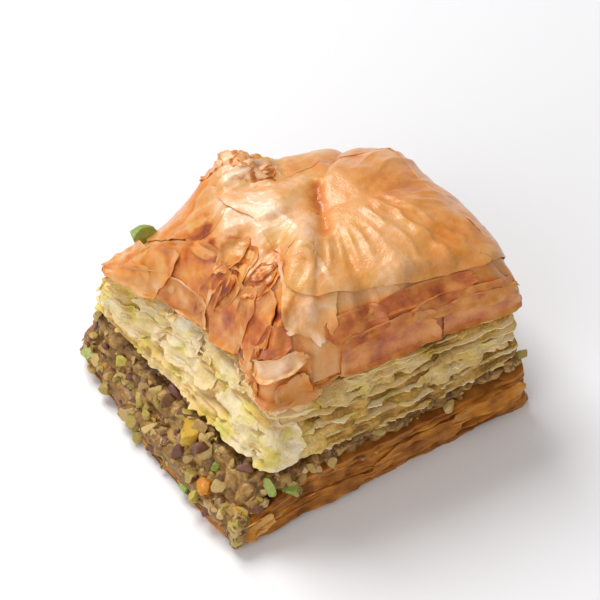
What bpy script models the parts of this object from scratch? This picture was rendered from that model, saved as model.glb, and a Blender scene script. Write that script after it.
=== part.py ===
"""One cut piece of pistachio baklava: soaked bottom pastry, chopped-nut filling and puffed top pastry.

Metres, +Z up. The origin is the middle of the base. The cut sides face -X (left), +X (right), -Y (front)
and +Y (back). The layers lean: the top pastry has shrunk back from the left cut, where the nuts show most.
"""

import math

import bmesh
import bpy
from mathutils import Vector, noise

MM = 0.001

# Driving sizes
LENGTH = 49 * MM
WIDTH = 43 * MM
HEIGHT = 34 * MM
GAP = 0.3 * MM  # between solids that touch

# Heights of the surfaces between the layers
NUT_FLOOR = 7.8 * MM  # top of the bottom pastry
NUT_FLOOR_LEFT = 4.4 * MM  # the bottom pastry is pressed thinner under the left cut
FLOOR_RAMP = (-22 * MM, -11 * MM)  # X where the floor rises from one to the other
NUT_ROOF = 10.6 * MM  # underside of the top pastry
RIM_HEIGHT = {
    "front_left": 20.8 * MM, "front_right": 21.0 * MM, "back_right": 14.0 * MM, "back_left": 19.2 * MM,
}  # the crust's edge at each corner
RIM_SWELL = 1.3 * MM  # how much higher the crust's edge is between the corners
RIM_THICKNESS = 0.9 * MM

# Plan outlines in mm. Each corner is its inset from the plan's corner, (along X, along Y).
# pull draws the middle of a side further in.
CORNERS = ("front_left", "front_right", "back_right", "back_left")
FOOT = {
    "front_left": (1.4, 1.4), "front_right": (0.2, 0.0), "back_right": (0.3, 0.2), "back_left": (1.2, 0.2),
    "pull": {"left": -1.3, "right": 0.0, "front": 0.3, "back": 0.0},
}
NUT_LEDGE = {
    "front_left": (1.8, 1.8), "front_right": (0.7, 0.7), "back_right": (0.7, 0.7), "back_left": (1.4, 0.7),
    "pull": {"left": -1.1, "right": 0.1, "front": 0.1, "back": 0.2},
}
ROOF = {
    "front_left": (7.2, 3.3), "front_right": (1.6, 1.6), "back_right": (1.5, 1.5), "back_left": (2.6, 1.5),
    "pull": {"left": -0.6, "right": 0.0, "front": -1.2, "back": 0.2},
}
CRUST = {
    "front_left": (9.5, 6.6), "front_right": (1.3, 2.5), "back_right": (1.6, 2.2), "back_left": (2.9, 3.4),
    "pull": {"left": 3.5, "right": -0.8, "front": -1.0, "back": -0.4},
}
UNDER_CRUST = 0.9 * MM  # the crust's rim stands this far proud of the pale layers

# The puffed dome: how square its section is, how steeply it falls towards each side,
# and the share of its height that the back right corner has lost
DOME_SQUARENESS = 3.2
DOME_FALL = {"left": 0.8, "right": 0.38, "front": 0.42, "back": 1.15}
CORNER_LOSS = 0.5
RIM_FADE = 8  # folds and the step die out at the rim; higher is nearer to it
DOME_RINGS = (0.985, 0.95, 0.9, 0.83, 0.76, 0.7, 0.6, 0.48, 0.34, 0.18)
# A broken, lifted lump of sheets near the back edge: its middle on the square, its radius there, its height
KNOB_PLACE = (-0.14, 0.75)
KNOB_RADIUS = 0.2
KNOB_HEIGHT = 6.4 * MM
# The back edge stays high beside it: the middle, radius and height of that rise
RIDGE_PLACE = (0.08, 0.78)
RIDGE_RADIUS = 0.17
RIDGE_HEIGHT = 2.4 * MM
# The sheets make a crest down to the front left corner: how far it lies off the diagonal, its width and
# height, and where it starts and is full, as shares of the way to the corner
HIP_OFFSET = 0.1
HIP_WIDTH = 0.1
HIP_HEIGHT = 0.9 * MM
HIP_START = (0.1, 0.5)
# Folds that run down the dome: place along the edge in sides from the front left corner, width, depth
FOLDS = (
    (0.3, 0.05, 0.5 * MM), (0.52, 0.06, 0.6 * MM), (0.8, 0.05, 0.5 * MM), (1.45, 0.09, 0.5 * MM),
    (1.98, 0.08, 0.6 * MM), (2.5, 0.1, 0.6 * MM), (3.0, 0.07, 0.6 * MM), (3.35, 0.07, 0.7 * MM),
    (3.7, 0.06, 0.7 * MM),
)
# The top sheet breaks off along the front, and the darker sheets under it show as a step
STEP_DEPTH = 0.7 * MM
STEP_RINGS = (0.72, 0.8)  # where the sheet breaks, as shares of the way to the rim
STEP_START, STEP_END = (0.08, 0.2), (0.85, 1.0)  # where the step fades along the front, in sides

# Mesh and edge roughness
POINTS_PER_SIDE = 20
CORNER_ROUNDNESS = 26  # higher is sharper
MEAN_REACH = (LENGTH + WIDTH) / 4
LEAF_GROOVE = 0.4 * MM  # between two leaves
LEAF_FACE = (0.2, 0.85)  # the share of a leaf's height that stands out
LEAF_WAVE = 0.35 * MM  # how far the leaves wave in and out
RIM_WAVE = 0.4 * MM  # how far the crust's rim waves up and down
RIM_RAGGED = 0.8 * MM  # and in and out
RIM_EDGE = 0.2  # the rim is rounded under by this share of its thickness
NUT_LUMP = 0.7 * MM
LUMP_SIZE = 3.2 * MM
BOTTOM_LEAVES = 3
TOP_LEAVES = 5
LUMP_ROWS = (0.12, 0.35, 0.6, 0.85)  # rows of the nuts' side, as shares of its height
CAP_EDGE = 0.97  # the flat surfaces between layers start here, as a share of the outline
CAP_RINGS = (0.8, 0.5, 0.2)
FOOT_EDGE = 0.985  # the same for the base, whose edge is rounded up by FOOT_LIFT
FOOT_LIFT = 0.25 * MM
BOTTOM_SEED, TOP_SEED, RIM_SEED, SAG_SEED = 3, 20, 31, 11
SLOW, QUICK = 2.4, 5.0  # how fast the noise round the edge changes
SEED_STEP = 7.31  # how far apart the noise of two seeds is read

BOTTOM_COLOR = (0.42, 0.22, 0.08)
NUT_COLOR = (0.38, 0.33, 0.1)
TOP_COLOR = (0.72, 0.4, 0.14)


def ramp(low, high, value):
    """0 below low, 1 above high, smooth between."""
    f = min(max((value - low) / (high - low), 0.0), 1.0)
    return f * f * (3 - 2 * f)


def bell(distance):
    """1 at no distance, falling off smoothly on both sides."""
    return math.exp(-distance ** 2)


def edge_points():
    """Points (side, u, v) round the edge of the square -1..1, counterclockwise from the front left corner.

    side runs from 0 to 4: its whole part counts the corners passed.
    """
    turns = ((1, 0), (0, 1), (-1, 0), (0, -1))
    corners = ((-1, -1), (1, -1), (1, 1), (-1, 1))
    points = []
    for k, ((cu, cv), (du, dv)) in enumerate(zip(corners, turns)):
        for i in range(POINTS_PER_SIDE):
            along = 0.5 - 0.5 * math.cos(math.pi * i / POINTS_PER_SIDE)  # closer together at the corners
            f = 0.5 * (along + i / POINTS_PER_SIDE)
            points.append((k + f, cu + 2 * f * du, cv + 2 * f * dv))
    return points


EDGE = edge_points()


def mix_outlines(first, second, f):
    """The outline that lies the share f of the way from first to second."""
    mixed = {c: tuple(a + (b - a) * f for a, b in zip(first[c], second[c])) for c in CORNERS}
    mixed["pull"] = {s: a + (second["pull"][s] - a) * f for s, a in first["pull"].items()}
    return mixed


def corner_shares(u, v):
    """How much each of the CORNERS counts at (u, v); the shares add up to 1."""
    return (1 - u) * (1 - v) / 4, (1 + u) * (1 - v) / 4, (1 + u) * (1 + v) / 4, (1 - u) * (1 + v) / 4


def plan_point(outline, u, v):
    """X and Y of the point (u, v) of the square, laid into an outline with rounded corners."""
    reach = max(abs(u), abs(v))
    if reach > 0:
        norm = (abs(u) ** CORNER_ROUNDNESS + abs(v) ** CORNER_ROUNDNESS) ** (1 / CORNER_ROUNDNESS)
        u, v = u * reach / norm, v * reach / norm
    signs = ((-1, -1), (1, -1), (1, 1), (-1, 1))
    x = y = 0.0
    for corner, share, (sx, sy) in zip(CORNERS, corner_shares(u, v), signs):
        inset_x, inset_y = outline[corner]
        x += share * sx * (LENGTH / 2 - inset_x * MM)
        y += share * sy * (WIDTH / 2 - inset_y * MM)
    pull = outline["pull"]
    x += (pull["left"] * (1 - u) - pull["right"] * (1 + u)) / 2 * (1 - v * v) * MM
    y += (pull["front"] * (1 - v) - pull["back"] * (1 + v)) / 2 * (1 - u * u) * MM
    return x, y


def grown(u, v, by):
    """(u, v) moved out from the middle by a length."""
    return u * (1 + by / MEAN_REACH), v * (1 + by / MEAN_REACH)


def row(outline, height, scale=1.0, out=None):
    """One ring of points. height and out are functions of (side, u, v); out moves each point outwards."""
    points = []
    for side, u, v in EDGE:
        u, v = u * scale, v * scale
        moved = grown(u, v, out(side, u, v)) if out else (u, v)
        x, y = plan_point(outline, *moved)
        points.append(Vector((x, y, height(side, u, v))))
    return points


def level(z):
    """A height function that is the same all over."""
    return lambda side, u, v: z


def between(low, high, share):
    """The height function that lies the share of the way up from low to high."""
    return lambda side, u, v: low(side, u, v) + (high(side, u, v) - low(side, u, v)) * share


def wave(side, seed, speed):
    """Smooth noise from -1 to 1 round the edge, which meets itself after four sides."""
    angle = side / 4 * math.tau
    return noise.noise(Vector((math.cos(angle) * speed, math.sin(angle) * speed, seed * SEED_STEP)))


def waves(size, seed, inset=0.0):
    """An outward shift that waves round the edge by up to size, less an inset."""
    return lambda side, u, v: size * wave(side, seed, QUICK) - inset


def nut_floor(side, u, v):
    """Height of the surface between the bottom pastry and the nuts."""
    x, _ = plan_point(NUT_LEDGE, u, v)
    return NUT_FLOOR_LEFT + (NUT_FLOOR - NUT_FLOOR_LEFT) * ramp(*FLOOR_RAMP, x)


def rim_height(side, u, v):
    """Height of the crust's rim: its corners hang lower."""
    flat = sum(RIM_HEIGHT[corner] * share for corner, share in zip(CORNERS, corner_shares(u, v)))
    return flat + RIM_SWELL * (1 - (u * v) ** 2) + RIM_WAVE * wave(side, SAG_SEED, SLOW)


def leaf_rows(low, high, low_outline, high_outline, count, seed):
    """Rows of a cut side of stacked leaves, with a groove between neighbours, from height low to high."""
    rows = []
    for k in range(count):
        for share, inset in ((0.0, LEAF_GROOVE), (LEAF_FACE[0], 0.0), (LEAF_FACE[1], 0.0)):
            f = (k + share) / count
            outline = mix_outlines(low_outline, high_outline, f)
            rows.append(row(outline, between(low, high, f), out=waves(LEAF_WAVE, seed + k, inset)))
    return rows


def dome_height(side, u, v):
    """Height of the puffed crust over (u, v)."""
    def shoulder(c, low_side, high_side):
        power = DOME_FALL[low_side if c < 0 else high_side]
        return max(0.0, 1 - abs(c) ** DOME_SQUARENESS) ** power

    rise = shoulder(u, "left", "right") * shoulder(v, "front", "back")
    rise *= 1 - CORNER_LOSS * corner_shares(u, v)[2] ** 2
    rim = rim_height(side, u, v)
    reach = max(abs(u), abs(v))
    fold = sum(depth * bell(((side - place + 2) % 4 - 2) / width) for place, width, depth in FOLDS)
    on_front = ramp(*STEP_START, side) * (1 - ramp(*STEP_END, side))
    step = STEP_DEPTH * on_front * ramp(*STEP_RINGS, reach)
    carved = (fold * reach ** 1.5 + step) * (1 - reach ** RIM_FADE)
    knob = KNOB_HEIGHT * bell(math.hypot(u - KNOB_PLACE[0], v - KNOB_PLACE[1]) / KNOB_RADIUS)
    ridge = RIDGE_HEIGHT * bell(math.hypot(u - RIDGE_PLACE[0], v - RIDGE_PLACE[1]) / RIDGE_RADIUS)
    hip = HIP_HEIGHT * bell((u - v - HIP_OFFSET) / HIP_WIDTH) * ramp(*HIP_START, -(u + v) / 2)
    return rim + (HEIGHT - rim) * rise - carved + knob + ridge + hip * (1 - reach ** RIM_FADE)


def skin(name, rows, bottom_middle=None, top_middle=None):
    """A closed object through rows of points from bottom to top, capped by fans or, with no middle, flat."""
    mesh = bmesh.new()
    rings = [[mesh.verts.new(p) for p in points] for points in rows]
    count = len(EDGE)
    for lower, upper in zip(rings, rings[1:]):
        for i in range(count):
            j = (i + 1) % count
            mesh.faces.new((lower[i], lower[j], upper[j], upper[i]))
    for ring, middle, turned in ((rings[0], bottom_middle, True), (rings[-1], top_middle, False)):
        if middle is None:
            mesh.faces.new(ring[::-1] if turned else ring)
            continue
        hub = mesh.verts.new(middle)
        for i in range(count):
            pair = (ring[(i + 1) % count], ring[i]) if turned else (ring[i], ring[(i + 1) % count])
            mesh.faces.new((hub, *pair))
    bmesh.ops.recalc_face_normals(mesh, faces=mesh.faces)
    data = bpy.data.meshes.new(name)
    mesh.to_mesh(data)
    mesh.free()
    data.shade_smooth()
    data.set_sharp_from_angle(angle=math.radians(40))
    piece = bpy.data.objects.new(name, data)
    bpy.context.scene.collection.objects.link(piece)
    return piece


def finish(piece, color, roughness):
    material = bpy.data.materials.new(piece.name)
    material.use_nodes = True
    shader = material.node_tree.nodes["Principled BSDF"]
    shader.inputs["Base Color"].default_value = (*color, 1)
    shader.inputs["Roughness"].default_value = roughness
    shader.inputs["Metallic"].default_value = 0.0
    piece.data.materials.append(material)


def bottom_pastry():
    """The syrup-soaked stack of sheets under the nuts."""
    rows = [row(FOOT, level(0.0), FOOT_EDGE)]
    rows += leaf_rows(level(FOOT_LIFT), nut_floor, FOOT, NUT_LEDGE, BOTTOM_LEAVES, BOTTOM_SEED)
    rows += [row(NUT_LEDGE, nut_floor, scale) for scale in (CAP_EDGE, *CAP_RINGS)]
    piece = skin("bottom_pastry", rows, top_middle=(*plan_point(NUT_LEDGE, 0, 0), NUT_FLOOR))
    finish(piece, BOTTOM_COLOR, 0.35)
    return piece


def nut_lumps(share):
    """An outward shift that makes the nuts' side lumpy, different at each share of its height."""
    def out(side, u, v):
        x, y = plan_point(NUT_LEDGE, u, v)
        return NUT_LUMP * noise.noise(Vector((x, y, share * NUT_ROOF)) / LUMP_SIZE)

    return out


def pistachio_filling():
    """The chopped nuts, which run through the piece and slope out under the left cut."""
    def floor(side, u, v):
        return nut_floor(side, u, v) + GAP

    rows = [row(NUT_LEDGE, floor, scale) for scale in (*CAP_RINGS[::-1], CAP_EDGE)]
    for share in LUMP_ROWS:
        outline = mix_outlines(NUT_LEDGE, ROOF, share)
        rows.append(row(outline, between(floor, level(NUT_ROOF), share), out=nut_lumps(share)))
    rows += [row(ROOF, level(NUT_ROOF), scale) for scale in (CAP_EDGE, *CAP_RINGS)]
    piece = skin(
        "pistachio_filling", rows,
        bottom_middle=(*plan_point(NUT_LEDGE, 0, 0), NUT_FLOOR + GAP),
        top_middle=(*plan_point(ROOF, 0, 0), NUT_ROOF),
    )
    finish(piece, NUT_COLOR, 0.5)
    return piece


def top_pastry():
    """The pale layers over the nuts, with the browned sheets puffed into a dome on them."""
    floor = NUT_ROOF + GAP

    def under_rim(side, u, v):
        return rim_height(side, u, v) - RIM_THICKNESS

    rows = [row(ROOF, level(floor), scale) for scale in (*CAP_RINGS[::-1], CAP_EDGE)]
    shrunk = {c: tuple(a + UNDER_CRUST / MM for a in CRUST[c]) for c in CORNERS}
    shrunk["pull"] = CRUST["pull"]
    rows += leaf_rows(level(floor + FOOT_LIFT), under_rim, ROOF, shrunk, TOP_LEAVES, TOP_SEED)
    rows.append(row(shrunk, under_rim))
    rows.append(row(CRUST, between(under_rim, rim_height, RIM_EDGE), out=waves(RIM_RAGGED, RIM_SEED)))
    rows.append(row(CRUST, rim_height, out=waves(RIM_RAGGED, RIM_SEED)))
    rows += [row(CRUST, dome_height, scale) for scale in DOME_RINGS]
    piece = skin(
        "top_pastry", rows,
        bottom_middle=(*plan_point(ROOF, 0, 0), floor),
        top_middle=(*plan_point(CRUST, 0, 0), HEIGHT),
    )
    finish(piece, TOP_COLOR, 0.3)
    return piece


def centre_on_base(pieces):
    """Shifts the pieces so that the middle of their common plan is the origin."""
    points = [v.co for piece in pieces for v in piece.data.vertices]
    middle_x = (min(p.x for p in points) + max(p.x for p in points)) / 2
    middle_y = (min(p.y for p in points) + max(p.y for p in points)) / 2
    for piece in pieces:
        piece.location = (-middle_x, -middle_y, 0)


def main():
    for old in list(bpy.data.objects):
        bpy.data.objects.remove(old)
    centre_on_base([bottom_pastry(), pistachio_filling(), top_pastry()])


main()
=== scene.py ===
"""The looks of one cut piece of pistachio baklava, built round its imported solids.

Lengths are in mm unless a name says otherwise. (u, v) runs over a square from -1 to 1: u along +X and v
along +Y, so that the front cut is v = -1 and the left cut is u = -1.
"""
import math

import bmesh
import bpy
import numpy as np
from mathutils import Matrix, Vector
from mathutils.bvhtree import BVHTree
from mathutils.kdtree import KDTree


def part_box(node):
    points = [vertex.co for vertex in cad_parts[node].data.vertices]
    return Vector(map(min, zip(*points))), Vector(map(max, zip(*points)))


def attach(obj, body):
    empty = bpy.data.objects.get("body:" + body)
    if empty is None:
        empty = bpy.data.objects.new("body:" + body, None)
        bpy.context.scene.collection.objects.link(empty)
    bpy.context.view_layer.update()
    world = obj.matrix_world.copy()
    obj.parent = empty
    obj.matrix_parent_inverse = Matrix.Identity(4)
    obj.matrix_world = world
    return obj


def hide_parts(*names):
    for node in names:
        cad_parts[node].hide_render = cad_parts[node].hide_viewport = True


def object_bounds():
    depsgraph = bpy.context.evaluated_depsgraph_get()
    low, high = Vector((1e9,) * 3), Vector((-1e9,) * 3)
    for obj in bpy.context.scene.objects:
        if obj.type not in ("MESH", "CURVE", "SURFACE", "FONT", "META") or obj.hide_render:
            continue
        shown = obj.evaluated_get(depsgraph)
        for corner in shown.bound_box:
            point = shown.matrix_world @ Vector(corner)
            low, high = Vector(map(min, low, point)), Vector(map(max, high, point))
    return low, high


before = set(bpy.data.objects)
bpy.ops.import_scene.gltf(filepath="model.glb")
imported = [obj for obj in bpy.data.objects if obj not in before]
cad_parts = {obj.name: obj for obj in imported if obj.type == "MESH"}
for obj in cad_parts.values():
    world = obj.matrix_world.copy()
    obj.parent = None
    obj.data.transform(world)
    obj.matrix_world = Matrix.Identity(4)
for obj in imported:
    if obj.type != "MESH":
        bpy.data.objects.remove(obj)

MM = 0.001
DOWN = Vector((0, 0, -1))
CAD_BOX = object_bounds()

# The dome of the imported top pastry: how square it is, how steeply it falls to each side, what its back
# right corner has lost, the lump of lifted sheets near its back edge and the rise beside it, and the crest
# down to its front left corner
DOME_SQUARENESS = 3.2
DOME_FALL = dict(left=0.8, right=0.38, front=0.42, back=1.15)
CORNER_LOSS = 0.5
KNOB_PLACE, KNOB_RADIUS, KNOB_HEIGHT = (-0.14, 0.75), 0.2, 6.4
RIDGE_PLACE, RIDGE_RADIUS, RIDGE_HEIGHT = (0.08, 0.78), 0.17, 2.4
HIP_OFFSET, HIP_WIDTH, HIP_HEIGHT, HIP_START = 0.1, 0.1, 0.9, (0.1, 0.5)
# Its folds: place along the edge in sides from the front left corner, width, depth
FOLDS = ((0.3, 0.05, 0.5), (0.52, 0.06, 0.6), (0.8, 0.05, 0.5), (1.45, 0.09, 0.5), (1.98, 0.08, 0.6),
         (2.5, 0.1, 0.6), (3.0, 0.07, 0.6), (3.35, 0.07, 0.7), (3.7, 0.06, 0.7))
# The step where its top sheet breaks off along the front
STEP_DEPTH, STEP_RINGS, STEP_START, STEP_END = 0.7, (0.72, 0.8), (0.08, 0.2), (0.85, 1.0)
RIM_FADE = 8  # folds and the step die out at the rim; higher is nearer to it
RIM_THICKNESS = 0.9
RIM_STEP, RIM_HIGHEST = 0.25, 26  # how far it stands out from what is below it, and where it's looked for

# How fine the meshes are
AROUND = 540  # points round a cut side
DOME_ROWS = 105
DOME_REACH = 0.985  # how near to the middle its rings come
ROW_PITCH = 0.15  # between the rows of a cut side
READ_AROUND = 168  # points round a solid where its outline is read
READ_UP = 14
RIM_CROWDING = 2.2  # the dome's rings lie closer together towards the rim
RIM_ROWS = 12
CAP_INSET = 0.9  # of the rings that keep a side's caps flat near the edge


# --- noise ---

def hashed(cell, seed):
    """A whole number of 32 bits for each lattice point (..., 3), the same each run."""
    h = (cell @ np.array((374761393, 668265263, 1440662683)) + seed * 1013904223) & 0xFFFFFFFF
    h = ((h ^ (h >> 13)) * 1274126177) & 0xFFFFFFFF
    return h ^ (h >> 16)


def slope(h, x, y, z):
    """Perlin's gradient for the hash h at the offset (x, y, z)."""
    first = np.where(h < 8, x, y)
    second = np.where(h < 4, y, np.where((h == 12) | (h == 14), x, z))
    return np.where(h & 1, -first, first) + np.where(h & 2, -second, second)


def noise(points, seed=0):
    """Perlin noise from about -1 to 1 at points (..., 3)."""
    cell = np.floor(points).astype(np.int64)
    f = points - cell
    near = f * f * f * (f * (f * 6 - 15) + 10)
    total = 0.0
    for corner in np.ndindex(2, 2, 2):
        share = np.prod(np.where(corner, near, 1 - near), axis=-1)
        h = hashed(cell + corner, seed) & 15
        total = total + share * slope(h, *np.moveaxis(f - corner, -1, 0))
    return total


def rough(points, octaves, seed=0):
    """Noise with finer and fainter noise added to it."""
    return sum(noise(points * 2 ** k, seed + 31 * k) / 2 ** k for k in range(octaves))


def pebbles(points, seed):
    """Packed lumps one unit apart: the distance to the nearest one's middle, and its own number, 0 to 1."""
    cell = np.floor(points).astype(np.int64)
    nearest, number = np.full(points.shape[:-1], 9.0), np.zeros(points.shape[:-1])
    for step in np.ndindex(3, 3, 3):
        near = cell + step - 1
        middle = near + np.stack([hashed(near, seed + k) % 1024 / 1024 for k in range(3)], -1)
        distance = np.linalg.norm(points - middle, axis=-1)
        number = np.where(distance < nearest, hashed(near, seed + 3) % 1024 / 1024, number)
        nearest = np.minimum(distance, nearest)
    return nearest, number


def ramp(low, high, value):
    """0 below low, 1 above high, smooth between."""
    f = np.clip((value - low) / (high - low), 0, 1)
    return f * f * (3 - 2 * f)


def bell(distance):
    """1 at no distance, falling off smoothly on both sides."""
    return np.exp(-np.square(distance))


def creases(points, size, seed, count=5):
    """Relief of crumpled thin pastry, about -1 to 1: straight folds that come and go."""
    pick = np.random.default_rng(seed)
    total = 0.0
    for k in range(count):
        angle = pick.uniform(0, math.pi)
        way = np.array((math.cos(angle), math.sin(angle), pick.uniform(-0.5, 0.5)))
        length = size * pick.uniform(0.7, 1.5)
        phase = points @ way / length + 0.9 * noise(points / (2.3 * size), seed + 7 * k)
        fold = np.abs(phase % 1 - 0.5) * 4 - 1
        strength = np.clip(0.45 + 1.4 * noise(points / (1.7 * size), seed + 7 * k + 3), 0, 1)
        total = total + fold * strength * length / size
    return total / math.sqrt(count)


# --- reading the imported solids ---

def square_edge(count):
    """Points (u, v) evenly round the edge of the square, counterclockwise from the front left corner."""
    side = np.arange(count) * 4 / count
    along = side % 1 * 2 - 1
    one = np.ones(count)
    choices = ((along, one, -along, -one), (-one, along, one, -along))
    return np.stack([np.choose(side.astype(int), values) for values in choices], -1)


READ_EDGE = square_edge(READ_AROUND)


class Solid:
    """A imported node's surface, read in mm round the reading edge."""

    def __init__(self, name):
        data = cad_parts[name].data
        points = [v.co / MM for v in data.vertices]
        self.tree = BVHTree.FromPolygons(points, [tuple(p.vertices) for p in data.polygons])
        self.low, self.high = (np.array(corner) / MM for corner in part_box(name))

    def ring(self, heights):
        """Where level rays towards the middle, one from each point of the edge, first meet the solid."""
        found = np.full((READ_AROUND, 2), np.nan)
        starts = READ_EDGE * self.high[:2] * 2
        for i, (start, height) in enumerate(zip(starts, np.broadcast_to(heights, READ_AROUND))):
            hit = self.tree.ray_cast(Vector((*start, height)), Vector((*-start, 0)))[0]
            if hit:
                found[i] = hit[:2]
        return found

    def top(self, places):
        """Height of the solid's top over each (x, y) of places."""
        hits = [self.tree.ray_cast(Vector((x, y, self.high[2] + 1)), DOWN)[0] for x, y in places]
        return np.array([hit.z if hit else np.nan for hit in hits])


def resampled(rows, up):
    """A grid (rows, columns, k) of a closed side, read at up rows and at the points of a cut side."""
    count = rows.shape[1]
    at = np.arange(AROUND) * count / AROUND
    k = at.astype(int)
    f = (at - k)[None, :, None]
    wide = rows[:, k] * (1 - f) + rows[:, (k + 1) % count] * f
    at = np.linspace(0, len(rows) - 1, up)
    k = np.minimum(at.astype(int), len(rows) - 2)
    f = (at - k)[:, None, None]
    return wide[k] * (1 - f) + wide[k + 1] * f


def at_side(values):
    """Values (READ_AROUND, k) round the reading edge, read at the points of a cut side instead."""
    return resampled(values[None].repeat(2, 0), 2)[0]


def side_of(solid, low, high):
    """Rows of points up a solid's side from height low to high, without the grooves between its leaves."""
    low, high = (np.broadcast_to(z, READ_AROUND) for z in (low, high))
    shares = np.linspace(0.03, 0.97, READ_UP)
    heights = [np.minimum(low + (high - low) * f, solid.high[2] - 0.15) for f in shares]
    rows = np.stack([solid.ring(z) for z in heights])
    rows = np.where(np.isnan(rows), np.nanmean(rows, axis=0), rows)
    padded = np.concatenate((rows[:1], rows, rows[-1:]))
    rows = (padded[:-2] + padded[1:-1] + padded[2:]) / 3
    count = int(np.max(high - low) / ROW_PITCH)
    rows = resampled(rows, count)
    low, high = at_side(np.stack((low, high), -1)).T
    z = low + (high - low) * np.linspace(0, 1, count)[:, None]
    return np.concatenate((rows, z[..., None]), axis=-1)


def facing(points):
    """Unit normals of a grid whose columns run counterclockwise and whose rows run upwards or inwards."""
    along = np.roll(points, -1, axis=1) - np.roll(points, 1, axis=1)
    normal = np.cross(along, np.gradient(points, axis=0))
    return normal / (np.linalg.norm(normal, axis=-1, keepdims=True) + 1e-12)


def outward(rows):
    """Level unit vectors that point out of a closed side, one for each point of its rows."""
    along = np.roll(rows, -2, axis=1) - np.roll(rows, 2, axis=1)
    out = np.stack((along[..., 1], -along[..., 0], np.zeros(rows.shape[:2])), -1)
    return out / np.linalg.norm(out, axis=-1, keepdims=True)


def crust_rim(solid):
    """Height of the underside of the crust's rim, and the rim's outline, round the reading edge."""
    heights = np.arange(solid.low[2] + 1, RIM_HIGHEST, 0.2)
    reach = np.array([np.linalg.norm(solid.ring(z), axis=1) for z in heights])
    steps = reach[2:] - reach[:-2] > RIM_STEP
    highest = len(steps) - 1 - np.argmax(steps[::-1], axis=0)
    under = sum(np.roll(heights[highest + 1], k) for k in range(-2, 3)) / 5  # smoothed along the edge
    return under, solid.ring(under + RIM_THICKNESS / 2)


# --- making meshes ---

def tube_faces(rows, around, ring=False):
    """Quads between neighbouring rows of a tube, and for a ring between its last row and its first."""
    i = np.arange(rows if ring else rows - 1)[:, None] * around
    above = (i + around) % (rows * around)
    j = np.arange(around)
    k = (j + 1) % around
    return np.stack((i + j, i + k, above + k, above + j), -1).reshape(-1, 4)


class Heap:
    """Collects bodies, with a tone for each point, into one mesh."""

    def __init__(self):
        self.points, self.faces, self.tones, self.count = [], [], [], 0

    def add(self, points, faces, tone):
        self.points.append(points)
        self.faces += [part + self.count for part in faces]
        self.tones.append(np.broadcast_to(tone, len(points)))
        self.count += len(points)

    def tube(self, rows, tone):
        """Adds a closed tube: rows (R, N, 3) from its bottom to its top, capped by fans."""
        count, around = tone.shape
        points = np.concatenate((rows.reshape(-1, 3), rows[[0, -1]].mean(axis=1)))
        tones = np.concatenate((tone.ravel(), tone[[0, -1]].mean(axis=1)))
        j = np.arange(around)
        k = (j + 1) % around
        last = (count - 1) * around
        middle = count * around + 0 * j
        under = np.stack((middle, k, j), -1)
        over = np.stack((middle + 1, last + j, last + k), -1)
        self.add(points, [tube_faces(count, around), under, over], tones)

    def piece(self, name, material, node, replaced=False, sharp=50):
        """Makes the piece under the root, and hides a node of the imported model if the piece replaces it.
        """
        data = bpy.data.meshes.new(name)
        points = np.concatenate(self.points) * MM
        faces = [face for part in self.faces for face in part.tolist()]
        data.from_pydata(points.tolist(), [], faces)
        layer = data.attributes.new("tone", "FLOAT", "POINT")
        layer.data.foreach_set("value", np.concatenate(self.tones).astype(np.float32))
        data.shade_smooth()
        data.set_sharp_from_angle(angle=math.radians(sharp))
        data.materials.append(material)
        piece = bpy.data.objects.new(name, data)
        bpy.context.scene.collection.objects.link(piece)
        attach(piece, "root")
        if replaced:
            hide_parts(node)
        return piece


# --- stacked sheets, seen from the side ---

class Skin:
    """A closed surface as a grid of points and normals, which can be read between its points."""

    def __init__(self, points, normals):
        self.points, self.normals = points, normals

    def read(self, row, column):
        """Points and normals at fractional rows and columns."""
        rows, around = self.points.shape[:2]
        i = np.clip(np.floor(row).astype(int), 0, rows - 2)
        j = np.floor(column).astype(int)
        f, g = np.clip(row - i, 0, 1)[..., None], (column - j)[..., None]
        j, k = j % around, (j + 1) % around
        between = []
        for grid in (self.points, self.normals):
            low = grid[i, j] * (1 - g) + grid[i, k] * g
            high = grid[i + 1, j] * (1 - g) + grid[i + 1, k] * g
            between.append(low * (1 - f) + high * f)
        return between

    def side(self, along, up):
        """For a cut side: along is 0 to 4 round from the front left corner, up is 0 to 1."""
        rows, around = self.points.shape[:2]
        return self.read(up * (rows - 1), along / 4 * around)


def edge_place(points, scale, layer):
    """Where noise for the torn edge of a numbered layer is read."""
    return np.stack(np.broadcast_arrays(points[..., 0] * scale, points[..., 1] * scale, layer), -1)


def torn_sheets(points, pitch, ragged, groove, gap, seed):
    """How far stacked sheets stand out at points of a side, and their tone.

    Each sheet's edge is torn in its own way, and here and there two sheets have come apart.
    """
    height = points[..., 2] + 0.4 * noise(points * (0.09, 0.09, 0.2), seed)
    height = height + 0.12 * noise(points * 0.4, seed + 1)
    level = height / pitch + 0.35 * np.sin(0.8 * height / pitch + seed)
    sheet, seam = np.floor(level), np.round(level)
    across = 2 * (level - sheet) - 1
    torn = rough(edge_place(points, 0.35, sheet * 9.7), 4, seed + 2)
    parted = ramp(0.0, 0.45, noise(edge_place(points, 0.14, seam * 5.3), seed + 3))
    parted = parted * bell((level - seam) * pitch / (0.1 + 0.12 * pitch))
    bulge = 0.3 * noise(points * (0.12, 0.12, 0.5), seed + 4)
    push = bulge + ragged * torn - groove * across ** 4 - gap * parted
    # The tone is higher where torn edges stand out and lower where sheets have come apart: on the pale and
    # bottom sheets this is painted light on the edges and painted shade in the gaps.
    tone = 0.5 + 0.16 * np.sin(2.4 * sheet + 1.3 * np.sin(1.7 * sheet)) + 0.4 * torn - 0.35 * parted
    return push, np.clip(tone, 0, 1)


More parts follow.
